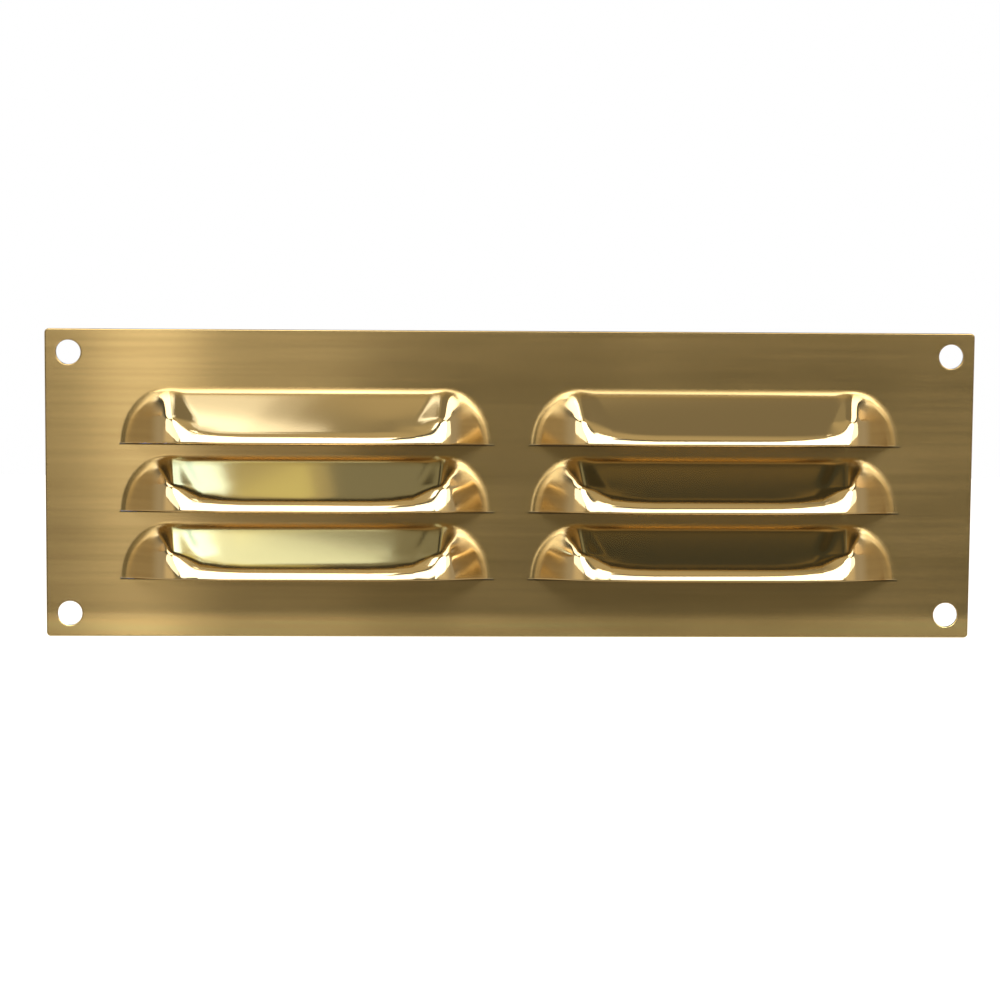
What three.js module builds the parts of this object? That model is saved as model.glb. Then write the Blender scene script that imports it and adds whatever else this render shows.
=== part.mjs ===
// Louvred vent plate: one pressed brass sheet with six hooded louvres that open downward.
// Millimetres. +Z is up and the front faces -Y. The origin is the centre of the flat back face.
//
// The sheet is modelled as a skin, its front surface, which is then thickened backwards. The skin is
// the flat plate, with a D-shaped window for each hood, and the hoods that fill those windows. Each
// hood is joined to the plate all round its rim and is cut free along the straight slit below it.
import * as THREE from 'three';

// Plate
const PLATE_LENGTH = 229;
const PLATE_HEIGHT = 76;
const SHEET = 1.2;
const CORNER_RADIUS = 1;

// Screw holes, one in each corner
const HOLE_DIAMETER = 6;
const HOLE_INSET = 5.75;

// Louvres: two columns of three
const COLUMN_SPACING = 100.6;
const ROW_PITCH = 16.7;
const LOWEST_SLIT_Z = -23.5;
const COLUMNS = 2;
const ROWS = 3;

// One hood, seen from the front: a straight slit below, a straight top and two quarter-ellipse ends
const HOOD_LENGTH = 91.8;
const HOOD_HEIGHT = 14.2;
const END_LENGTH = 11.8;
const SLIT_WIDTH = 0.3;
const HALF_STRAIGHT = HOOD_LENGTH / 2 - END_LENGTH;

// Sections of a hood from its rim down to its lip, in the middle and at its ends, as arcs. A radius
// above zero is hollow and one below zero is convex; the arc without one takes up the length that is
// left. Each arc ends at the given slope, in degrees.
const MIDDLE_SECTION = sectionArcs([
  { radius: 3, slope: 44 },
  { slope: 45 },
  { radius: -7.5, slope: 18 },
]);
const END_SECTION = sectionArcs([
  { radius: 2, slope: 47 },
  { radius: 480, slope: 48 },
  { radius: -5, slope: 28 },
  { slope: 18 },
]);

// The middle section passes into the end one over a shoulder, short at the rim and longer at the lip
const SHOULDER_AT_RIM = 4;
const SHOULDER_AT_LIP = 14;

// At its ends the hood turns down to the rim over a crease, sharp at the rim and softer at the lip:
// how far it reaches inside and outside the straight part's end. A fillet meets the plate.
const CREASE_INSIDE = { atRim: 1.5, atLip: 4 };
const CREASE_OUTSIDE = { atRim: 1, atLip: 2.5 };
const END_FILLET = 3.3;

// The lip is pressed a little upward, most in the middle
const LIP_RISE = 1.1;

// Cells that the flat plate is divided into: their width at the plate's ends and between the columns,
// and how far below its slit a louvre's cell reaches
const END_CELL = 12;
const MIDDLE_CELL = 4.4;
const CELL_MARGIN = 1.5;

// Facets: rays over the ends, where the rays of the straight part lie, and the rings' insets
const CORNER_STEPS = 4;
const HOLE_STEPS = 32;
const END_STEPS = 8;
const SHOULDER_RAYS = [32.6, 31, 29, 26, 22.5, 19];
const RING_INSETS = [0, 0.7, 1.4, 2.1, 4.6, 7.1, 7.8, 8.5, 9.9, 11.2, 12.2, 13.2, HOOD_HEIGHT];

// A section as a chain of arcs that know the inset, height and slope at which they start
function sectionArcs(section) {
  const sines = [0, ...section.map((arc) => Math.sin(THREE.MathUtils.degToRad(arc.slope)))];
  const turns = section.map((_, index) => sines[index + 1] - sines[index]);
  const used = section.reduce((sum, arc, index) => sum + turns[index] * (arc.radius ?? 0), 0);
  let start = 0;
  let height = 0;
  return section.map((arc, index) => {
    const radius = arc.radius ?? (HOOD_HEIGHT - used) / turns[index];
    const made = { start, height, radius, sine: sines[index], end: start + turns[index] * radius };
    start = made.end;
    height = arcHeight(made, made.end);
    return made;
  });
}

function arcHeight(arc, inset) {
  const sine = arc.sine + (inset - arc.start) / arc.radius;
  const turned = Math.sqrt(1 - arc.sine ** 2) - Math.sqrt(1 - sine ** 2);
  return arc.height + arc.radius * turned;
}

function sectionHeight(section, inset) {
  const arc = section.find((candidate) => inset <= candidate.end) ?? section[section.length - 1];
  return arcHeight(arc, inset);
}

// Share of the face's height that is left at u, towards the hood's ends. u runs along the slit from
// the hood's middle, and rise is the share of the way from the slit (0) to the rim (1).
function endShare(u, rise) {
  const reach = END_LENGTH * Math.sqrt(Math.max(1 - rise ** 2, 0)) + 1e-9;
  const down = (1 - rise) ** 2;
  const inside = THREE.MathUtils.lerp(CREASE_INSIDE.atRim, CREASE_INSIDE.atLip, down);
  const crease = THREE.MathUtils.lerp(CREASE_OUTSIDE.atRim, CREASE_OUTSIDE.atLip, down);
  const outside = Math.min(crease, reach / 2);
  const fillet = Math.min(END_FILLET, 0.4 * reach);
  const past = Math.min(Math.abs(u) - HALF_STRAIGHT, reach);
  const slope = 1 / (reach - fillet / 2 + (inside - outside) / 2);
  if (past < outside) {
    return 1 - (slope * Math.max(past + inside, 0) ** 2) / (2 * (inside + outside));
  }
  if (past < reach - fillet) {
    return 1 - slope * (past + (inside - outside) / 2);
  }
  return (slope * (reach - past) ** 2) / (2 * fillet);
}

// How far a hood stands out of the plate
function hoodHeight(u, rise) {
  const inset = (1 - rise) * HOOD_HEIGHT;
  const middle = sectionHeight(MIDDLE_SECTION, inset);
  const end = sectionHeight(END_SECTION, inset);
  const shoulder = THREE.MathUtils.lerp(SHOULDER_AT_RIM, SHOULDER_AT_LIP, (1 - rise) ** 1.5);
  const blend = THREE.MathUtils.smoothstep(Math.abs(u), HALF_STRAIGHT - shoulder, HALF_STRAIGHT);
  return THREE.MathUtils.lerp(middle, end, blend) * endShare(u, rise);
}

// How far a place of the flat sheet is pressed upward
function hoodLift(u, rise) {
  return LIP_RISE * (1 - rise) ** 2 * endShare(u, rise);
}

// Rays from a hood's spine, which lies on the slit, out to its rim: foot is where a ray starts on the
// spine, and angle is its direction, from 0 (along the slit to the right) to PI (to the left).
function hoodRays() {
  const rays = [];
  for (let step = 0; step <= END_STEPS; step += 1) {
    rays.push({ foot: -HALF_STRAIGHT, angle: Math.PI - (Math.PI / 2) * (step / END_STEPS) });
  }
  for (const u of SHOULDER_RAYS) {
    rays.push({ foot: -u, angle: Math.PI / 2 });
  }
  const mirrored = rays.map((ray) => ({ foot: -ray.foot, angle: Math.PI - ray.angle }));
  return [...rays, ...mirrored.reverse()];
}

// The point on a ray at a given share of the way to the rim, as seen from the front. The straight
// part of the rim has no points between its ends, so there the rays end at the nearer one.
function rayPoint(ray, rise, louvre) {
  const foot = rise === 1 ? Math.sign(ray.foot) * HALF_STRAIGHT : ray.foot;
  const across = Math.cos(ray.angle) * END_LENGTH * rise;
  const up = Math.sin(ray.angle) * HOOD_HEIGHT * rise;
  return new THREE.Vector2(
    louvre.x + foot + (Math.abs(across) < 1e-9 ? 0 : across),
    louvre.z + (Math.abs(up) < 1e-9 ? 0 : up),
  );
}

// Middle of each louvre's slit
function louvrePlaces() {
  const places = [];
  for (let column = 0; column < COLUMNS; column += 1) {
    for (let row = 0; row < ROWS; row += 1) {
      const x = (column - (COLUMNS - 1) / 2) * COLUMN_SPACING;
      places.push({ x, z: LOWEST_SLIT_Z + row * ROW_PITCH });
    }
  }
  return places;
}

// A surface of triangles whose equal points are shared. All of them run anticlockwise seen from the
// front.
class Skin {
  constructor() {
    this.points = [];
    this.onSlit = [];
    this.triangles = [];
    this.indexOf = new Map();
  }

  point(x, y, z, onSlit = false) {
    const key = `${x.toFixed(5)} ${y.toFixed(5)} ${z.toFixed(5)}`;
    if (!this.indexOf.has(key)) {
      this.indexOf.set(key, this.points.length);
      this.points.push(new THREE.Vector3(x, y, z));
      this.onSlit.push(onSlit);
    }
    return this.indexOf.get(key);
  }

  triangle(a, b, c) {
    if (a === b || b === c || c === a) {
      return;
    }
    const [p, q, r] = [this.points[a], this.points[b], this.points[c]];
    const turn = (q.x - p.x) * (r.z - p.z) - (q.z - p.z) * (r.x - p.x);
    this.triangles.push(turn > 0 ? [a, b, c] : [a, c, b]);
  }

  normals() {
    const normals = this.points.map(() => new THREE.Vector3());
    for (const [a, b, c] of this.triangles) {
      const ab = new THREE.Vector3().subVectors(this.points[b], this.points[a]);
      const ac = new THREE.Vector3().subVectors(this.points[c], this.points[a]);
      const facet = ab.cross(ac);
      [a, b, c].forEach((index) => normals[index].add(facet));
    }
    return normals.map((normal) => normal.normalize());
  }

  // Edges that only one triangle uses, each in the direction that the triangle uses it
  openEdges() {
    const used = new Map();
    for (const [a, b, c] of this.triangles) {
      for (const [from, to] of [[a, b], [b, c], [c, a]]) {
        used.set(`${from} ${to}`, [from, to]);
      }
    }
    return [...used.values()].filter(([from, to]) => !used.has(`${to} ${from}`));
  }

  // The point behind a front point, one sheet thickness in. The flat plate's go straight back, and
  // those of a lip stay level, which keeps its cut face level too.
  backPoint(index, normal) {
    const front = this.points[index];
    if (front.y === -SHEET) {
      return new THREE.Vector3(front.x, 0, front.z);
    }
    if (this.onSlit[index]) {
      const level = new THREE.Vector3(normal.x, normal.y, 0);
      return front.clone().addScaledVector(level, -SHEET / level.lengthSq());
    }
    return front.clone().addScaledVector(normal, -SHEET);
  }

  thicken() {
    const normals = this.normals();
    const back = this.points.map((_, index) => this.backPoint(index, normals[index]));
    const behind = this.points.length;
    const faces = [];
    for (const [a, b, c] of this.triangles) {
      faces.push(a, b, c, behind + a, behind + c, behind + b);
    }
    for (const [from, to] of this.openEdges()) {
      faces.push(from, behind + from, behind + to, from, behind + to, to);
    }
    const geometry = new THREE.BufferGeometry();
    geometry.setFromPoints([...this.points, ...back]);
    geometry.setIndex(faces);
    geometry.computeVertexNormals();
    return geometry;
  }
}

// The plate is laid out in rectangular cells, so that each has at most one hole to be filled round
function cellLines() {
  const side = PLATE_LENGTH / 2;
  const lowest = LOWEST_SLIT_Z - CELL_MARGIN;
  const rowLines = Array.from({ length: ROWS + 1 }, (_, row) => lowest + row * ROW_PITCH);
  return {
    x: [-side, END_CELL - side, -MIDDLE_CELL / 2, MIDDLE_CELL / 2, side - END_CELL, side],
    z: [-PLATE_HEIGHT / 2, ...rowLines, PLATE_HEIGHT / 2],
  };
}

// A cell's corners, anticlockwise from its upper right, where a corner of the plate is an arc
function cellOutline(left, right, bottom, top) {
  const corners = [[right, top], [left, top], [left, bottom], [right, bottom]];
  return corners.flatMap(([x, z], corner) => {
    if (Math.abs(x) < PLATE_LENGTH / 2 || Math.abs(z) < PLATE_HEIGHT / 2) {
      return [new THREE.Vector2(x, z)];
    }
    const centreX = x - Math.sign(x) * CORNER_RADIUS;
    const centreZ = z - Math.sign(z) * CORNER_RADIUS;
    return Array.from({ length: CORNER_STEPS + 1 }, (_, step) => {
      const angle = (Math.PI / 2) * (corner + step / CORNER_STEPS);
      return new THREE.Vector2(
        centreX + CORNER_RADIUS * Math.cos(angle),
        centreZ + CORNER_RADIUS * Math.sin(angle),
      );
    });
  });
}

function screwHoleOutline(x, z) {
  const outline = [];
  for (let step = 0; step < HOLE_STEPS; step += 1) {
    const angle = (2 * Math.PI * step) / HOLE_STEPS;
    outline.push(new THREE.Vector2(
      x + (HOLE_DIAMETER / 2) * Math.cos(angle),
      z + (HOLE_DIAMETER / 2) * Math.sin(angle),
    ));
  }
  return outline;
}

// The window in the plate for one louvre: its rim, and the far side of its slit
function windowOutline(louvre) {
  const rays = hoodRays().filter((ray) => Math.abs(ray.foot) === HALF_STRAIGHT);
  const rim = rays.map((ray) => rayPoint(ray, 1, louvre));
  const slitEnds = [rim[rim.length - 1], rim[0]];
  return [...rim, ...slitEnds.map((end) => new THREE.Vector2(end.x, end.y - SLIT_WIDTH))];
}

function plateHoles() {
  const holes = louvrePlaces().map(windowOutline);
  for (const side of [-1, 1]) {
    for (const end of [-1, 1]) {
      const x = side * (PLATE_LENGTH / 2 - HOLE_INSET);
      const z = end * (PLATE_HEIGHT / 2 - HOLE_INSET);
      holes.push(screwHoleOutline(x, z));
    }
  }
  return holes;
}

function addPlate(skin) {
  const holes = plateHoles();
  const lines = cellLines();
  for (let column = 1; column < lines.x.length; column += 1) {
    for (let row = 1; row < lines.z.length; row += 1) {
      const [left, right] = [lines.x[column - 1], lines.x[column]];
      const [bottom, top] = [lines.z[row - 1], lines.z[row]];
      const inside = holes.filter(([{ x, y }]) => x > left && x < right && y > bottom && y < top);
      addCell(skin, cellOutline(left, right, bottom, top), inside);
    }
  }
}

function addCell(skin, outline, holes) {
  const places = [outline, ...holes].flat();
  const indices = places.map((place) => skin.point(place.x, -SHEET, place.y));
  for (const [a, b, c] of THREE.ShapeUtils.triangulateShape(outline, holes)) {
    skin.triangle(indices[a], indices[b], indices[c]);
  }
}

function addHood(skin, louvre) {
  const rings = RING_INSETS.map((inset) => 1 - inset / HOOD_HEIGHT);
  const rays = hoodRays();
  const grid = rays.map((ray) => rings.map((ring) => {
    const place = rayPoint(ray, ring, louvre);
    if (ring === 1) {
      return skin.point(place.x, -SHEET, place.y);
    }
    const u = place.x - louvre.x;
    const rise = (place.y - louvre.z) / HOOD_HEIGHT;
    const y = -SHEET - hoodHeight(u, rise);
    return skin.point(place.x, y, place.y + hoodLift(u, rise), rise === 0);
  }));
  for (let ray = 1; ray < rays.length; ray += 1) {
    for (let ring = 1; ring < rings.length; ring += 1) {
      const [outer, inner] = [ring - 1, ring];
      skin.triangle(grid[ray - 1][outer], grid[ray][outer], grid[ray][inner]);
      skin.triangle(grid[ray - 1][outer], grid[ray][inner], grid[ray - 1][inner]);
    }
  }
}

function louvrePlate() {
  const skin = new Skin();
  addPlate(skin);
  louvrePlaces().forEach((louvre) => addHood(skin, louvre));
  const brass = new THREE.MeshStandardMaterial({ color: 0xa88a52, roughness: 0.32, metalness: 1 });
  const mesh = new THREE.Mesh(skin.thicken(), brass);
  mesh.name = 'louvre_plate';
  return mesh;
}

const vent = new THREE.Group();
vent.add(louvrePlate());
export default vent;
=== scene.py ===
import math

import bpy
import numpy as np
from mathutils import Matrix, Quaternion, Vector
from mathutils.geometry import tessellate_polygon

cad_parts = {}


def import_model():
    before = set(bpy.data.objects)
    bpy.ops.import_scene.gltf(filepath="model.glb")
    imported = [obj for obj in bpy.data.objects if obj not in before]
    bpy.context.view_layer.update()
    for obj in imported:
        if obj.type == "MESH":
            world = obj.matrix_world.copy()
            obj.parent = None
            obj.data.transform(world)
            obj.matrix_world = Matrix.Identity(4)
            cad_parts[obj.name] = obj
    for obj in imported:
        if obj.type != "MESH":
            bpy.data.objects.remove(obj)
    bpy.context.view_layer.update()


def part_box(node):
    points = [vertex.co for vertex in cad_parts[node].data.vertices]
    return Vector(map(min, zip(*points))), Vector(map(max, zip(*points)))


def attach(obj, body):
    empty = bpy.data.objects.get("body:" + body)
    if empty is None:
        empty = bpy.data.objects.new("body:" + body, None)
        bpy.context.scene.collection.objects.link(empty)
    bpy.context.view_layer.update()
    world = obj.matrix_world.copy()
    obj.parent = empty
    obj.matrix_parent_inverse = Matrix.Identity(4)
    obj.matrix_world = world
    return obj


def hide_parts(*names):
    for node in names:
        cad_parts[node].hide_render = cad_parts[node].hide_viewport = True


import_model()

PLATE_LOW, PLATE_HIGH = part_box("louvre_plate")
MM = 0.001
TINY = 1e-9    # keeps a divisor above zero

# Plate, as in the CAD model
SHEET = 1.2 * MM
CORNER_RADIUS = 1.0 * MM
HOLE_RADIUS = 3.0 * MM
HOLE_INSET = 5.75 * MM

# Louvres, as in the CAD model but for the slit: a sheared edge has next to no kerf, so it is narrower
COLUMN_SPACING = 100.6 * MM
ROW_PITCH = 16.7 * MM
ROWS = 3
LOWEST_SLIT_Z = -23.5 * MM
HOOD_LENGTH = 91.8 * MM
HOOD_HEIGHT = 14.2 * MM
END_LENGTH = 11.8 * MM
HALF_STRAIGHT = HOOD_LENGTH / 2 - END_LENGTH
SLIT_WIDTH = 0.05 * MM
LIP_RISE = 1.1 * MM

# Sections of a hood from its upper rim down to its lip, in the middle and at its ends, as arcs (radius, slope
# at the end). A radius above zero is hollow and one below zero is convex; the arc with none takes up
# the length that is left. The middle one is flatter than in the CAD model, so that it mirrors cleanly.
MIDDLE_SECTION = (
    (3.0 * MM, math.radians(44.45)),
    (None, math.radians(44.55)),
    (-7.5 * MM, math.radians(18)),
)
END_SECTION = (
    (2.0 * MM, math.radians(47)),
    (480 * MM, math.radians(48)),
    (-5.0 * MM, math.radians(28)),
    (None, math.radians(18)),
)

# The middle section passes into the end one over a shoulder: its length at the rim, and how much longer
# it is at the lip, which it reaches by this power of the way down
SHOULDER_LENGTH = (4.0 * MM, 10.0 * MM)
SHOULDER_POWER = 1.5

# At its ends the hood turns down to the rim over a crease, sharp at the rim and soft at the lip: how far
# it reaches inside and outside the straight part's end at the rim, and how much further at the lip. A
# fillet meets the plate. Near the top of the rim both take up no more than a share of the way left.
CREASE_INSIDE = (1.5 * MM, 2.5 * MM)
CREASE_OUTSIDE = (1.0 * MM, 1.5 * MM)
CREASE_SHARE = 0.5
END_FILLET = 3.3 * MM
FILLET_SHARE = 0.4

# Polish: 0 is the plate's brushed finish and 1 is a hood's mirror. It grows over this distance inside
# the rim, and is partly lost over this distance past the straight part of the hood.
POLISH_STARTS = (0.6 * MM, 3.4 * MM)
DULL_STARTS = (1.5 * MM, 4.5 * MM)
END_DULLNESS = 0.92
LIP_POLISH = 0.6
EDGE_POLISH = 0.3
# The darkness given to the sheared edge is painted shade under the lip
CUT_POLISH = -1.0    # the sheared lower edge of a slit, which is also dark

# What only the fine surface shows: the rounding of every cut edge. A flat border lies beside each.
EDGE_RADIUS = 0.25 * MM
SHARP_EDGE_RADIUS = 0.04 * MM
EDGE_STEPS = 4
FLAT_BORDER = 0.12 * MM
INSET = EDGE_RADIUS + FLAT_BORDER
EDGE_PROBE = 1.2    # how much deeper than its radius an edge is probed for the way out of the sheet
SLOPE_STEP = 0.01 * MM    # to both sides of a point, for the slope of the surface there

# Facets of the fine surface. Rays over an end crowd at the slit and rings crowd at the rim, by a power.
END_RAYS = 36
END_CROWDING = 1.15
BLEND_RAYS = 12
MIDDLE_RAYS = 10
HALF_MIDDLE = 26.0 * MM
RINGS = 44
RING_CROWDING = 1.6
HOLE_STEPS = 72
CORNER_STEPS = 10

# Lines cut the flat plate into cells: this far from its ends, on both sides of a strip this wide
# between the columns, and this far below the slits
END_CELL = 12.0 * MM
MIDDLE_CELL = 4.4 * MM
CELL_MARGIN = 1.5 * MM

# Points are shared where they agree to this many digits of a millimetre
SHARED_DIGITS = 4

# UV map that gives the grain its direction
UV_SCALE = 4.0
UV_MIDDLE = 0.5


# ---------------------------------------------------------------------------------------------------
# Shape of a hood
# ---------------------------------------------------------------------------------------------------

def section_arcs(section):
    """A section's arcs as (start, end, height, slope, radius), rim first."""
    slopes = [0.0, *[slope for _, slope in section]]
    turns = [math.sin(after) - math.sin(before) for before, after in zip(slopes, slopes[1:])]
    used = sum(turn * radius for turn, (radius, _) in zip(turns, section) if radius)
    arcs = []
    start = 0.0
    height = 0.0
    for turn, before, (radius, after) in zip(turns, slopes, section):
        radius = radius or (HOOD_HEIGHT - used) / turn
        arcs.append((start, start + turn * radius, height, before, radius))
        height += radius * (math.cos(before) - math.cos(after))
        start += turn * radius
    return arcs


def section_height(section, inset):
    """Height of the section at each inset from the rim; flat outside the rim."""
    inset = np.clip(inset, 0, HOOD_HEIGHT)
    height = np.zeros_like(inset)
    for start, end, base, slope, radius in section_arcs(section):
        sine = math.sin(slope) + (np.clip(inset, start, end) - start) / radius
        arc = base + radius * (math.cos(slope) - np.sqrt(1 - sine**2))
        height = np.where(inset >= start, arc, height)
    return height


def smooth_step(value, start, end):
    """0 up to start, 1 past end, smooth in between."""
    share = np.clip((value - start) / (end - start), 0, 1)
    return share * share * (3 - 2 * share)


def end_share(u, rise):
    """Share of the face's height that is left at u, towards the hood's ends."""
    reach = END_LENGTH * np.sqrt(np.maximum(1 - rise**2, 0)) + TINY
    down = (1 - rise) ** 2
    inside = CREASE_INSIDE[0] + CREASE_INSIDE[1] * down
    outside = np.minimum(CREASE_OUTSIDE[0] + CREASE_OUTSIDE[1] * down, CREASE_SHARE * reach)
    fillet = np.minimum(END_FILLET, FILLET_SHARE * reach)
    past = np.minimum(np.abs(u) - HALF_STRAIGHT, reach)
    slope = 1 / (reach - fillet / 2 + (inside - outside) / 2)
    crease = 1 - slope * np.maximum(past + inside, 0) ** 2 / (2 * (inside + outside))
    line = 1 - slope * (past + (inside - outside) / 2)
    foot = slope * (reach - past) ** 2 / (2 * fillet)
    return np.where(past < outside, crease, np.where(past < reach - fillet, line, foot))


def hood_height(u, up):
    """How far a hood stands out of the plate. u runs along the slit from the hood's middle."""
    rise = np.clip(up / HOOD_HEIGHT, 0, 1)
    middle = section_height(MIDDLE_SECTION, HOOD_HEIGHT - up)
    end = section_height(END_SECTION, HOOD_HEIGHT - up)
    shoulder = SHOULDER_LENGTH[0] + SHOULDER_LENGTH[1] * (1 - rise) ** SHOULDER_POWER
    past = (np.abs(u) - HALF_STRAIGHT) / shoulder + 1
    blend = smooth_step(past, 0.0, 1.0)
    return ((1 - blend) * middle + blend * end) * end_share(u, rise)


def hood_surface(u, up):
    """The hood's front surface: where a place of the flat sheet is pressed to."""
    rise = np.clip(up / HOOD_HEIGHT, 0, 1)
    lift = LIP_RISE * (1 - rise) ** 2 * end_share(u, rise)
    return np.stack([u, -SHEET - hood_height(u, up), up + lift], axis=-1)


def hood_point(louvre, places, depth=0.0):
    """3-D points of the hood's front surface, or of the surface that lies depth below it."""
    u = places[:, 0] - louvre[0]
    up = places[:, 1] - louvre[1]
    along = hood_surface(u + SLOPE_STEP, up) - hood_surface(u - SLOPE_STEP, up)
    upward = hood_surface(u, up + SLOPE_STEP) - hood_surface(u, up - SLOPE_STEP)
    normal = np.cross(along, upward)
    normal /= np.linalg.norm(normal, axis=1, keepdims=True)
    front = hood_surface(u, up) + np.array([louvre[0], 0, louvre[1]])
    return front - depth * normal, normal


def plate_point(places, depth=0.0):
    """The same for the flat plate."""
    normal = np.tile([0.0, -1.0, 0.0], (len(places), 1))
    front = np.stack([places[:, 0], np.full(len(places), -SHEET), places[:, 1]], axis=1)
    return front - depth * normal, normal


# ---------------------------------------------------------------------------------------------------
# Outlines, seen from the front as (x, z)
# ---------------------------------------------------------------------------------------------------

def louvre_places():
    """Middle of each louvre's slit."""
    return [
        (side * COLUMN_SPACING / 2, LOWEST_SLIT_Z + row * ROW_PITCH)
        for side in (-1, 1)
        for row in range(ROWS)
    ]


def hood_rays():
    """Rays (foot, rim, border) over one hood from left to right, about the slit's middle. The feet lie
    one edge border above the slit, the rim is the hood's outline and the border is just outside it."""
    rays = []
    lowest = math.asin(INSET / HOOD_HEIGHT)
    for step in range(END_RAYS + 1):
        angle = lowest + (math.pi / 2 - lowest) * (step / END_RAYS) ** END_CROWDING
        rim = np.array([-HALF_STRAIGHT - END_LENGTH * math.cos(angle), HOOD_HEIGHT * math.sin(angle)])
        out = np.array([-math.cos(angle) / END_LENGTH, math.sin(angle) / HOOD_HEIGHT])
        out /= np.linalg.norm(out)
        foot = np.array([-HALF_STRAIGHT, INSET])
        border = rim + INSET * out
        if step == 0:    # beside the slit's end
            border = np.array([-HOOD_LENGTH / 2 - INSET, INSET])
        rays.append((foot, rim, border))
    ends = list(rays)
    straight = [
        *np.linspace(-HALF_STRAIGHT, -HALF_MIDDLE, BLEND_RAYS + 1)[1:],
        *np.linspace(-HALF_MIDDLE, HALF_MIDDLE, MIDDLE_RAYS + 1)[1:],
        *np.linspace(HALF_MIDDLE, HALF_STRAIGHT, BLEND_RAYS + 1)[1:-1],
    ]
    for u in straight:
        rays.append((
            np.array([u, INSET]),
            np.array([u, HOOD_HEIGHT]),
            np.array([u, HOOD_HEIGHT + INSET]),
        ))
    flip = np.array([-1, 1])
    rays += [(foot * flip, rim * flip, border * flip) for foot, rim, border in reversed(ends)]
    return rays


def ring_shares():
    """Share of each ring's way from foot to rim, closer together on the fillet at the rim."""
    shares = np.linspace(0, 1, RINGS + 1)
    return 1 - (1 - shares) ** RING_CROWDING


def window_outline(louvre):
    """The hole that a louvre needs in the flat plate, one border outside its rim and its slit."""
    border = [ray[2] for ray in hood_rays()]
    low = -SLIT_WIDTH - INSET
    half = HOOD_LENGTH / 2 + INSET
    outline = [*border, np.array([half, low]), np.array([-half, low])]
    return [point + np.array(louvre) for point in outline]


def circle(centre, radius, steps):
    """Points of a circle, anticlockwise."""
    angles = np.arange(steps) * 2 * math.pi / steps
    return [np.array(centre) + radius * np.array([math.cos(a), math.sin(a)]) for a in angles]


def screw_holes():
    """Centres of the four screw holes."""
    return [
        (x, z)
        for x in (PLATE_LOW[0] + HOLE_INSET, PLATE_HIGH[0] - HOLE_INSET)
        for z in (PLATE_LOW[2] + HOLE_INSET, PLATE_HIGH[2] - HOLE_INSET)
    ]


def plate_corner(x, z, shrink):
    """A corner of the plate as an arc, anticlockwise, shrunk inward by a border."""
    centre = np.array([x - math.copysign(CORNER_RADIUS, x), z - math.copysign(CORNER_RADIUS, z)])
    quarter = {(1, 1): 0, (-1, 1): 1, (-1, -1): 2, (1, -1): 3}[(int(np.sign(x)), int(np.sign(z)))]
    angles = (quarter + np.arange(CORNER_STEPS + 1) / CORNER_STEPS) * math.pi / 2
    radius = CORNER_RADIUS - shrink
    return [centre + radius * np.array([math.cos(a), math.sin(a)]) for a in angles]


# ---------------------------------------------------------------------------------------------------
# The sheet as a mesh
# ---------------------------------------------------------------------------------------------------

class Sheet:
    """A front skin and the back skin behind it, sharing one list of triangles and quads, with rounded
    edges between them. Points that are equal as seen from the front are shared."""

    def __init__(self):
        self.places = []
        self.front = []
        self.back = []
        self.polish = []
        self.index_of = {}
        self.faces = []
        self.edge_points = []
        self.edge_loops = []

    def add(self, places, front, back, polish):
        """Adds points with their places as seen from the front; returns their indices."""
        indices = []
        for place, near, far, shine in zip(places, front, back, polish):
            key = (round(place[0] / MM, SHARED_DIGITS), round(place[1] / MM, SHARED_DIGITS))
            if key not in self.index_of:
                self.index_of[key] = len(self.front)
                self.places.append(place)
                self.front.append(near)
                self.back.append(far)
                self.polish.append(shine)
            indices.append(self.index_of[key])
        return indices

    def face(self, corners):
        """Adds a face, turned to run anticlockwise seen from the front."""
        corners = list(dict.fromkeys(corners))
        if len(corners) < 3:
            return
        x = [self.places[corner][0] for corner in corners]
        z = [self.places[corner][1] for corner in corners]
        area = sum(x[i - 1] * z[i] - x[i] * z[i - 1] for i in range(len(corners)))
        self.faces.append(corners if area > 0 else corners[::-1])

    def close_edge(self, skin_loop, rows, polish):
        """Joins front and back round a closed loop. rows are the loop's edge profiles, front to back."""
        base = len(self.edge_points)
        for row in rows:
            self.edge_points.extend(row)
        self.edge_loops.append((skin_loop, base, len(rows), polish))

    def edge_mesh(self):
        """Faces round the edges, and the polish of the points between front and back."""
        behind = len(self.front)
        faces = []
        polish = [0.0] * len(self.edge_points)
        for loop, base, rows, shine in self.edge_loops:
            count = len(loop)
            columns = []
            for index, point in enumerate(loop):
                between = [base + row * count + index for row in range(rows)]
                for place in between:
                    polish[place] = shine[index]
                columns.append([point, *[2 * behind + place for place in between], behind + point])
            for here, there in zip(columns, [*columns[1:], columns[0]]):
                for row in range(rows + 1):
                    faces.append([here[row], here[row + 1], there[row + 1], there[row]])
        return faces, polish

    def build(self, name):
        """The finished mesh object: front, back and edges."""
        behind = len(self.front)
        edge_faces, edge_polish = self.edge_mesh()
        points = [*self.front, *self.back, *self.edge_points]
        polish = [*self.polish, *self.polish, *edge_polish]
        back_faces = [[behind + corner for corner in reversed(face)] for face in self.faces]
        faces = [*self.faces, *back_faces, *edge_faces]
        mesh = bpy.data.meshes.new(name)
        mesh.from_pydata([tuple(map(float, point)) for point in points], [], faces)
        mesh.validate()
        mesh.update()
        mesh.shade_smooth()
        attribute = mesh.attributes.new("polish", "FLOAT", "POINT")
        attribute.data.foreach_set("value", np.array(polish, dtype=np.float32))
        add_upright_uv(mesh)
        piece = bpy.data.objects.new(name, mesh)
        bpy.context.collection.objects.link(piece)
        return piece


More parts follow.
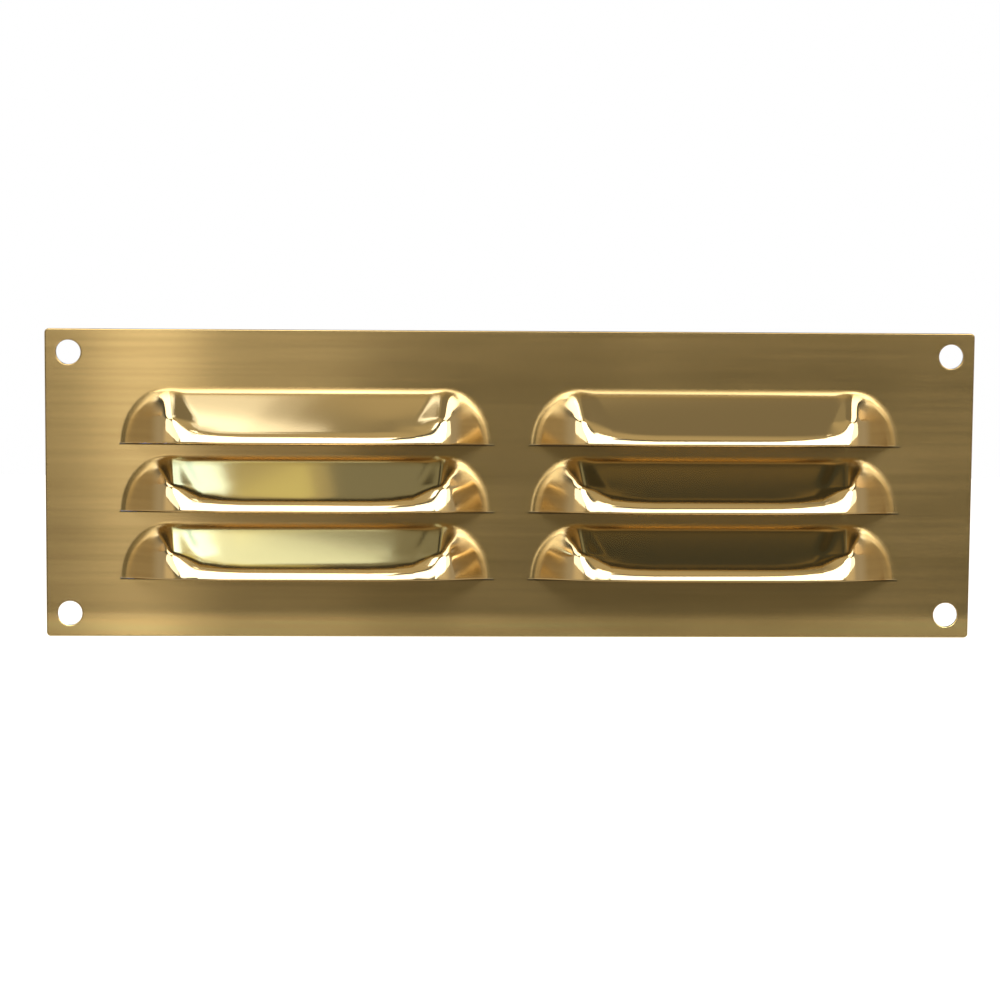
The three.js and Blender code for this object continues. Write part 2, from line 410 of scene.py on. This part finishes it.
def add_upright_uv(mesh):
    """A UV map whose u runs up the plate and v along it, which gives the grain its direction."""
    uv = mesh.uv_layers.new(name="along")
    places = np.zeros(len(mesh.vertices) * 3, dtype=np.float32)
    mesh.vertices.foreach_get("co", places)
    corner_vertex = np.zeros(len(mesh.loops), dtype=np.int32)
    mesh.loops.foreach_get("vertex_index", corner_vertex)
    places = places.reshape(-1, 3)[corner_vertex]
    uv.data.foreach_set("uv", (places[:, [2, 0]] * UV_SCALE + UV_MIDDLE).ravel())


def edge_profile(surface, edge, inward, radius=EDGE_RADIUS):
    """Rows of points round a cut edge, from the front border to the back one. surface(places, depth)
    gives the sheet's points and normals, edge is the loop of the edge's places, and inward is the way
    into the sheet at each, longer at a mitred corner."""
    start = edge + inward * radius
    base, normal = surface(start, 0.0)
    probe, _ = surface(edge + inward * radius * EDGE_PROBE, 0.0)
    outward = base - probe
    scale = np.linalg.norm(inward, axis=1, keepdims=True)
    outward *= scale / np.linalg.norm(outward, axis=1, keepdims=True)
    front_rows = []
    back_rows = []
    for step in range(EDGE_STEPS + 1):
        angle = (math.pi / 2) * step / EDGE_STEPS
        across = math.sin(angle) * radius
        deep = (1 - math.cos(angle)) * radius
        front_rows.append(base + outward * across - normal * deep)
        back_rows.append(base + outward * across - normal * (SHEET - deep))
    return [*front_rows, *reversed(back_rows)]


def add_hood(sheet, louvre):
    """One hood's surfaces, and the rounded edge all round its slit."""
    shares = ring_shares()
    grid = []    # point indices of each ray, from its foot to its border
    for foot, rim, border in hood_rays():
        places = np.array([foot + (rim - foot) * share for share in shares] + [border]) + louvre
        front, _ = hood_point(louvre, places)
        back, _ = hood_point(louvre, places, SHEET)
        inset = np.linalg.norm(places - louvre - rim, axis=1)
        ends = smooth_step(np.abs(places[:, 0] - louvre[0]) - HALF_STRAIGHT, *DULL_STARTS)
        polish = smooth_step(inset, *POLISH_STARTS) * (1 - END_DULLNESS * ends)
        polish[-1] = 0.0
        grid.append(sheet.add(places, front, back, polish))
    for left, right in zip(grid, grid[1:]):
        for ring in range(1, len(left)):
            sheet.face([left[ring - 1], left[ring], right[ring], right[ring - 1]])
    add_slit_edge(sheet, louvre, grid)


def add_slit_edge(sheet, louvre, grid):
    """The edge of the hood's lip and of the plate below it, as one loop round the slit."""
    half = HOOD_LENGTH / 2
    feet = [ray[0] for ray in grid[1:-1]]
    lip_skin = list(dict.fromkeys([*reversed(grid[0]), *feet, *grid[-1]]))
    places = np.array([sheet.places[i] for i in lip_skin]) - louvre
    edge = np.stack([np.clip(places[:, 0], -half, half), np.zeros(len(places))], axis=1)
    inward = np.tile([0.0, 1.0], (len(places), 1))
    inward[0] = (-1, 1)
    inward[-1] = (1, 1)

    def lip_surface(at, depth):
        return hood_point(louvre, at + louvre, depth)

    def plate_surface(at, depth):
        return plate_point(at + louvre, depth)

    rows = edge_profile(lip_surface, edge, inward)
    low_edge = np.array([[half, -SLIT_WIDTH], [-half, -SLIT_WIDTH]])
    low_inward = np.array([[1.0, -1.0], [-1.0, -1.0]])
    low_rows = edge_profile(plate_surface, low_edge, low_inward, SHARP_EDGE_RADIUS)
    low_places = low_edge + low_inward * INSET + louvre
    front, _ = plate_point(low_places)
    back, _ = plate_point(low_places, SHEET)
    low_skin = sheet.add(low_places, front, back, [0.0, 0.0])
    loop = [*lip_skin, *low_skin]
    polish = [LIP_POLISH] * len(lip_skin) + [CUT_POLISH] * len(low_skin)
    sheet.close_edge(loop, [np.concatenate([a, b]) for a, b in zip(rows, low_rows)], polish)


def add_ring_edge(sheet, edge, inward):
    """The rounded edge of the plate's outline or of a round hole."""
    places = edge + inward * INSET
    front, _ = plate_point(places)
    back, _ = plate_point(places, SHEET)
    loop = sheet.add(places, front, back, [0.0] * len(places))
    sheet.close_edge(loop, edge_profile(plate_point, edge, inward), [EDGE_POLISH] * len(loop))


def add_cell(sheet, outline, holes):
    """Fills a cell of the flat plate round its holes."""
    loops = [outline, *holes]
    places = np.array([point for loop in loops for point in loop])
    front, _ = plate_point(places)
    back, _ = plate_point(places, SHEET)
    indices = sheet.add(places, front, back, [0.0] * len(places))
    for triangle in tessellate_polygon([[Vector((x, z, 0)) for x, z in loop] for loop in loops]):
        sheet.face([indices[corner] for corner in triangle])


def add_plate(sheet):
    """The flat plate, in cells that hold at most one hole each. Returns the cells' lines."""
    side = PLATE_HIGH[0] - INSET
    end = PLATE_HIGH[2] - INSET
    lowest = LOWEST_SLIT_Z - CELL_MARGIN
    x_lines = [-side, END_CELL - PLATE_HIGH[0], -MIDDLE_CELL / 2]
    x_lines += [-x for x in reversed(x_lines)]
    z_lines = [-end, *[lowest + row * ROW_PITCH for row in range(ROWS + 1)], end]
    holes = [window_outline(louvre) for louvre in louvre_places()]
    holes += [circle(centre, HOLE_RADIUS + INSET, HOLE_STEPS) for centre in screw_holes()]
    for left, right in zip(x_lines, x_lines[1:]):
        for low, high in zip(z_lines, z_lines[1:]):
            inside = [h for h in holes if left < h[0][0] < right and low < h[0][1] < high]
            outline = []
            for x, z in ((right, high), (left, high), (left, low), (right, low)):
                if abs(x) == side and abs(z) == end:
                    corner = (math.copysign(PLATE_HIGH[0], x), math.copysign(PLATE_HIGH[2], z))
                    outline += plate_corner(*corner, INSET)
                else:
                    outline.append(np.array([x, z]))
            add_cell(sheet, outline, inside)
    return x_lines, z_lines


def add_plate_edges(sheet, x_lines, z_lines):
    """The rounded edges of the four holes and of the plate's outline."""
    for centre in screw_holes():
        edge = np.array(circle(centre, HOLE_RADIUS, HOLE_STEPS))
        inward = (edge - np.array(centre)) / HOLE_RADIUS
        add_ring_edge(sheet, edge[::-1], inward[::-1])
    right, top = PLATE_HIGH[0], PLATE_HIGH[2]
    places = ((right, top), (-right, top), (-right, -top), (right, -top))
    corners = [plate_corner(x, z, 0.0) for x, z in places]
    between = [
        [np.array([x, top]) for x in reversed(x_lines[1:-1])],
        [np.array([-right, z]) for z in reversed(z_lines[1:-1])],
        [np.array([x, -top]) for x in x_lines[1:-1]],
        [np.array([right, z]) for z in z_lines[1:-1]],
    ]
    edge = np.array([point for corner, side in zip(corners, between) for point in [*corner, *side]])
    core = np.array([right - CORNER_RADIUS, top - CORNER_RADIUS])
    inward = np.clip(edge, -core, core) - edge
    inward /= np.linalg.norm(inward, axis=1, keepdims=True)
    add_ring_edge(sheet, edge, inward)


def louvre_plate():
    """The whole plate as one mesh object."""
    sheet = Sheet()
    lines = add_plate(sheet)
    for louvre in louvre_places():
        add_hood(sheet, np.array(louvre))
    add_plate_edges(sheet, *lines)
    return sheet.build("louvre_plate_brass")


# ---------------------------------------------------------------------------------------------------
# Shader nodes
# ---------------------------------------------------------------------------------------------------

def node(tree, kind, **values):
    """A node with its settings; a value given for a socket name sets that input."""
    made = tree.nodes.new(kind)
    for key, value in values.items():
        if key in made.bl_rna.properties:
            setattr(made, key, value)
        else:
            made.inputs[key.replace("_", " ")].default_value = value
    return made


def feed(tree, socket, value):
    """Puts a constant or another node's output into a socket."""
    if isinstance(value, bpy.types.NodeSocket):
        tree.links.new(value, socket)
    else:
        socket.default_value = value


def times(tree, a, b):
    """Product of two values."""
    product = node(tree, "ShaderNodeMath", operation="MULTIPLY")
    feed(tree, product.inputs[0], a)
    feed(tree, product.inputs[1], b)
    return product.outputs[0]


def map_range(tree, value, source=(0.0, 1.0), target=(0.0, 1.0), kind="LINEAR"):
    """The value taken from one range to another, and held at the ends."""
    made = node(tree, "ShaderNodeMapRange", interpolation_type=kind)
    for name, limit in zip(("From Min", "From Max", "To Min", "To Max"), (*source, *target)):
        made.inputs[name].default_value = limit
    feed(tree, made.inputs["Value"], value)
    return made.outputs["Result"]


def mix_colour(tree, share, first, second):
    """The first colour passing into the second."""
    mix = node(tree, "ShaderNodeMix", data_type="RGBA")
    feed(tree, mix.inputs[0], share)
    sockets = [socket for socket in mix.inputs if socket.type == "RGBA"]
    feed(tree, sockets[0], first)
    feed(tree, sockets[1], second)
    return next(socket for socket in mix.outputs if socket.type == "RGBA")


def stretched_noise(tree, place, scale, detail):
    """Noise with its own scale along each axis."""
    stretch = node(tree, "ShaderNodeMapping", Scale=scale)
    feed(tree, stretch.inputs["Vector"], place)
    noise = node(tree, "ShaderNodeTexNoise", Scale=1.0, Detail=detail)
    feed(tree, noise.inputs["Vector"], stretch.outputs["Vector"])
    return noise.outputs["Fac"]


# ---------------------------------------------------------------------------------------------------
# Brass
# ---------------------------------------------------------------------------------------------------

# Noise, as its scale along each axis and its detail: grain along the plate, and long clouds that vary
# the roughness. Nearly all of a noise's values lie in its range.
STREAKS = ((14, 14, 700), 1.5)
CLOUDS = ((18, 18, 60), 3.0)
NOISE_RANGE = (0.3, 0.7)

# The two tones of the brushed finish, and the polished hoods
SATIN_DEEP = (0.60, 0.405, 0.155, 1)
SATIN_PALE = (0.68, 0.465, 0.185, 1)
POLISHED = (0.80, 0.61, 0.33, 1)

# A painted reflection: a paler band along the plate's lower border, with the plate above it a little darker.
# The heights where the band starts and is full, and the brightness above it and in it
PAINTED_SHEEN_Z = (-31.0 * MM, -34.5 * MM)
PAINTED_SHEEN_BRIGHTNESS = (0.88, 1.6)

# The sheared lower edges of the slits, told by a polish below zero, are darkened: painted shade, as under the
# lips
CUT_SHADE_STARTS = (0.0, -0.5)
CUT_SHADE_BRIGHTNESS = (1.0, 0.35)

# Brushed and polished, and what the clouds multiply the roughness by
ROUGHNESS = (0.235, 0.085)
ANISOTROPY = (0.95, 0.4)
CLOUD_FACTOR = (0.9, 1.1)


def brass():
    """Brass brushed along the plate, which passes into polished brass by the polish of the surface."""
    material = bpy.data.materials.new("brass_brushed")
    material.use_nodes = True
    tree = material.node_tree
    shader = tree.nodes["Principled BSDF"]
    shader.inputs["Metallic"].default_value = 1.0

    tangent = node(tree, "ShaderNodeTangent", direction_type="UV_MAP", uv_map="along")
    feed(tree, shader.inputs["Tangent"], tangent.outputs["Tangent"])
    place = node(tree, "ShaderNodeTexCoord").outputs["Object"]
    polish = node(tree, "ShaderNodeAttribute", attribute_name="polish").outputs["Fac"]
    streaks = stretched_noise(tree, place, *STREAKS)
    clouds = stretched_noise(tree, place, *CLOUDS)

    satin = mix_colour(tree, map_range(tree, streaks, NOISE_RANGE), SATIN_DEEP, SATIN_PALE)
    axes = node(tree, "ShaderNodeSeparateXYZ")
    feed(tree, axes.inputs[0], place)
    # Painted reflection: the base colour is brighter along the plate's lower border and a little darker above
    # it
    painted_sheen = map_range(tree, axes.outputs["Z"], PAINTED_SHEEN_Z, PAINTED_SHEEN_BRIGHTNESS, "SMOOTHSTEP")
    # Painted shade: the sheared lower edges of the slits, under the lips, are darkened
    cut_shade = map_range(tree, polish, CUT_SHADE_STARTS, CUT_SHADE_BRIGHTNESS, "SMOOTHSTEP")
    shade = node(tree, "ShaderNodeVectorMath", operation="SCALE")
    feed(tree, shade.inputs[0], mix_colour(tree, polish, satin, POLISHED))
    feed(tree, shade.inputs["Scale"], times(tree, painted_sheen, cut_shade))
    feed(tree, shader.inputs["Base Color"], shade.outputs[0])

    rough = map_range(tree, polish, target=ROUGHNESS)
    vary = map_range(tree, clouds, NOISE_RANGE, CLOUD_FACTOR)
    feed(tree, shader.inputs["Roughness"], times(tree, rough, vary))
    feed(tree, shader.inputs["Anisotropic"], map_range(tree, polish, target=ANISOTROPY))
    return material


# ---------------------------------------------------------------------------------------------------
# Stage, light and camera
# ---------------------------------------------------------------------------------------------------

FLOOR_Z = -0.30
FLOOR_REACH = 3.0
FLOOR_WHITE = (0.9, 0.9, 0.9, 1)
FLOOR_GLOW = (1, 1, 1, 1)


def floor():
    """A white floor, well below the plate, which glows so that it shows no shadow."""
    mesh = bpy.data.meshes.new("floor")
    corners = ((-1, -1), (1, -1), (1, 1), (-1, 1))
    mesh.from_pydata([(x * FLOOR_REACH, y * FLOOR_REACH, FLOOR_Z) for x, y in corners], [], [(0, 1, 2, 3)])
    stage = bpy.data.objects.new("floor", mesh)
    bpy.context.collection.objects.link(stage)
    material = bpy.data.materials.new("floor_white")
    material.use_nodes = True
    shader = material.node_tree.nodes["Principled BSDF"]
    shader.inputs["Base Color"].default_value = FLOOR_WHITE
    shader.inputs["Roughness"].default_value = 0.9
    shader.inputs["Emission Color"].default_value = FLOOR_GLOW
    shader.inputs["Emission Strength"].default_value = 1.0
    mesh.materials.append(material)
    stage.visible_glossy = False


ROOM = (0.075, 0.085, 0.085, 1)
OVERHEAD = (64, 90, 7)
BESIDE = (-30, 45, 12)
WALL_COLOUR = (1.0, 0.86, 0.66)

# Soft panels of the studio: azimuth from, to and softness, elevation from, to and softness in degrees,
# colour and strength. Azimuth 0 is straight in front of the plate and positive is to its right.
PANELS = (
    ((-180, 10, 60), OVERHEAD, (1.0, 0.84, 0.50), 0.33),
    ((10, 180, 60), OVERHEAD, (1.0, 0.80, 0.44), 0.20),
    ((-180, 180, 1), (-90, -26, 10), (1.0, 0.97, 0.9), 0.5),
    ((-150, -50, 12), BESIDE, WALL_COLOUR, 0.40),
    ((50, 150, 12), BESIDE, WALL_COLOUR, 0.40),
    ((-60, 60, 20), (9, 24, 7), (1.0, 0.80, 0.42), 0.30),
)


def window(tree, value, low, high, soft):
    """1 between low and high, falling to 0 over soft outside."""
    inner = map_range(tree, value, (low - soft, low), kind="SMOOTHSTEP")
    outer = map_range(tree, value, (high + soft, high), kind="SMOOTHSTEP")
    return times(tree, inner, outer)


def arc_degrees(tree, operation, *values):
    """An inverse trigonometric function of the values, in degrees."""
    arc = node(tree, "ShaderNodeMath", operation=operation)
    for socket, value in zip(arc.inputs, values):
        feed(tree, socket, value)
    return times(tree, arc.outputs[0], math.degrees(1))


def world():
    """White to the camera; in reflections a dim room with soft panels of light."""
    room = bpy.data.worlds.new("room")
    bpy.context.scene.world = room
    room.use_nodes = True
    tree = room.node_tree
    tree.nodes.clear()
    place = node(tree, "ShaderNodeTexCoord")
    axes = node(tree, "ShaderNodeSeparateXYZ")
    feed(tree, axes.inputs[0], place.outputs["Generated"])
    front = times(tree, axes.outputs["Y"], -1.0)
    azimuth = arc_degrees(tree, "ARCTAN2", axes.outputs["X"], front)
    elevation = arc_degrees(tree, "ARCSINE", axes.outputs["Z"])
    light = node(tree, "ShaderNodeBackground", Color=ROOM, Strength=1.0).outputs[0]
    for across, upright, colour, strength in PANELS:
        shape = times(tree, window(tree, azimuth, *across), window(tree, elevation, *upright))
        panel = node(tree, "ShaderNodeBackground", Color=(*colour, 1))
        feed(tree, panel.inputs["Strength"], times(tree, shape, strength))
        both = node(tree, "ShaderNodeAddShader")
        feed(tree, both.inputs[0], light)
        feed(tree, both.inputs[1], panel.outputs[0])
        light = both.outputs[0]
    white = node(tree, "ShaderNodeBackground", Color=(1, 1, 1, 1), Strength=1.0)
    path = node(tree, "ShaderNodeLightPath")
    choose = node(tree, "ShaderNodeMixShader")
    feed(tree, choose.inputs[0], path.outputs["Is Camera Ray"])
    feed(tree, choose.inputs[1], light)
    feed(tree, choose.inputs[2], white.outputs[0])
    output = node(tree, "ShaderNodeOutputWorld")
    feed(tree, output.inputs["Surface"], choose.outputs[0])


# Colours of the lights
WHITE = (1, 1, 1)
COOL = (0.9, 0.94, 1.0)
WARM = (1, 0.97, 0.9)
GOLD = (1, 0.85, 0.5)
LIME = (0.7, 1.0, 0.6)
PALE_LIME = (0.9, 1.0, 0.8)
PALE_BLUE = (0.45, 0.62, 0.9)
SKY_BLUE = (0.34, 0.56, 1.0)
BLUE = (0.22, 0.43, 1.0)
CLEAR_BLUE = (0.2, 0.43, 1.0)
DEEP_BLUE = (0.2, 0.45, 0.9)

CENTRE = (0, 0, 0)

# Soft lights: name, place, width and height, radiance, colour, the point they face and their turn in
# degrees. One that faces None faces straight at the plate's plane.
LIGHTS = (
    # In front and above, mirrored in the hoods' lips and ends
    ("light_left", (-0.118, -0.30, 0.335), (0.185, 0.32), 3.8, COOL, CENTRE, 0),
    ("light_right", (0.285, -0.30, 0.335), (0.23, 0.32), 3.6, COOL, CENTRE, 0),
    ("light_strip", (0.075, -0.33, 0.30), (0.28, 0.19), 3.4, COOL, CENTRE, 0),
    ("light_corner_left", (-0.31, -0.22, 0.30), (0.26, 0.22), 2.0, COOL, (-0.07, 0, 0), 0),
    ("light_corner_right", (0.42, -0.22, 0.30), (0.26, 0.22), 2.0, COOL, (0.07, 0, 0), 0),
    # High up on both sides
    ("light_side_left", (-0.36, 0.0, 0.86), (0.34, 0.50), 3.0, WARM, (-0.03, 0, 0), 90),
    ("light_side_right", (0.45, 0.0, 0.86), (0.30, 0.50), 3.0, WARM, (0.03, 0, 0), 90),
    # In front, at the height of the plate
    ("light_low", (-0.117, -0.35, 0.02), (0.035, 0.12), 1.5, WHITE, CENTRE, 0),
    ("light_low_wide", (-0.105, -0.351, 0.02), (0.13, 0.12), 0.45, WHITE, CENTRE, 0),
    # Straight above, mirrored in the face of the upper left hood
    ("overhead", (-0.115, -0.005, 0.50), (0.030, 0.12), 1.4, COOL, (-0.113, -0.0051, 0), 20),
    ("overhead_soft", (-0.109, -0.005, 0.51), (0.044, 0.12), 0.6, COOL, (-0.109, -0.0051, 0), 20),
    ("overhead_faint", (-0.104, -0.005, 0.52), (0.062, 0.12), 0.3, COOL, (-0.104, -0.0051, 0), 20),
    # Behind: the faces of the middle and lower hoods mirror the back of the hood above, which mirrors these
    ("behind_dim_left", (-0.062, 0.36, -0.036), (0.15, 0.09), 0.75, PALE_BLUE, None, 0),
    ("behind_dim_right", (0.10, 0.36, -0.040), (0.16, 0.08), 0.08, DEEP_BLUE, None, 0),
    ("behind_row_two", (-0.094, 0.10, 0.0), (0.034, 0.022), 8.0, BLUE, None, -25),
    ("behind_row_two_soft", (-0.0635, 0.101, -0.004), (0.026, 0.015), 0.6, LIME, None, -20),
    ("behind_row_two_faint", (-0.067, 0.102, 0.001), (0.040, 0.022), 0.45, PALE_LIME, None, -20),
    ("behind_row_three", (-0.064, 0.10, -0.0202), (0.070, 0.014), 4.2, SKY_BLUE, (-0.062, 0, -0.0192), 9),
    ("behind_row_three_left", (-0.098, 0.10, -0.018), (0.034, 0.02), 6.0, CLEAR_BLUE, None, -25),
    ("behind_beam_two", (0.062, 0.10, 0.0057), (0.072, 0.0032), 0.32, GOLD, None, 0),
    ("behind_beam_three", (0.062, 0.10, -0.0113), (0.072, 0.0032), 0.32, GOLD, None, 0),
)


def turned(place, aim, turn):
    """Rotation of a light or a camera at a place towards its aim, turned about that way by an angle."""
    level = (Vector(aim) - Vector(place)).to_track_quat("-Z", "Y")
    return (level @ Quaternion((0, 0, 1), turn)).to_euler()


def softbox(name, place, size, radiance, colour, facing, turn):
    """A rectangular soft light, which the camera itself doesn't see."""
    width, height = size
    light = bpy.data.lights.new(name, "AREA")
    light.shape = "RECTANGLE"
    light.size = width
    light.size_y = height
    light.energy = radiance * math.pi * width * height
    light.color = colour
    lamp = bpy.data.objects.new(name, light)
    lamp.location = place
    lamp.rotation_euler = turned(place, facing or (place[0], 0, place[2]), math.radians(turn))
    lamp.visible_camera = False
    bpy.context.collection.objects.link(lamp)


CAMERA_PLACE = (-0.0321, -0.738, 0.0761)
CAMERA_AIM = (-0.0027, 0, -0.0039)
CAMERA_ROLL = 0.008
SENSOR_WIDTH = 36
FOCAL_LENGTH = 108


def camera():
    """A view from a little above and to the left of square on, with a long lens."""
    lens = bpy.data.cameras.new("camera")
    lens.sensor_width = SENSOR_WIDTH
    lens.lens = FOCAL_LENGTH
    lens.clip_start = 0.01
    eye = bpy.data.objects.new("camera", lens)
    eye.location = CAMERA_PLACE
    eye.rotation_euler = turned(eye.location, CAMERA_AIM, CAMERA_ROLL)
    bpy.context.collection.objects.link(eye)
    bpy.context.scene.camera = eye


camera()
world()
floor()
for light in LIGHTS:
    softbox(*light)

plate = louvre_plate()
plate.data.materials.append(brass())
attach(plate, "root")
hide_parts("louvre_plate")

bpy.context.scene.view_settings.view_transform = "Standard"
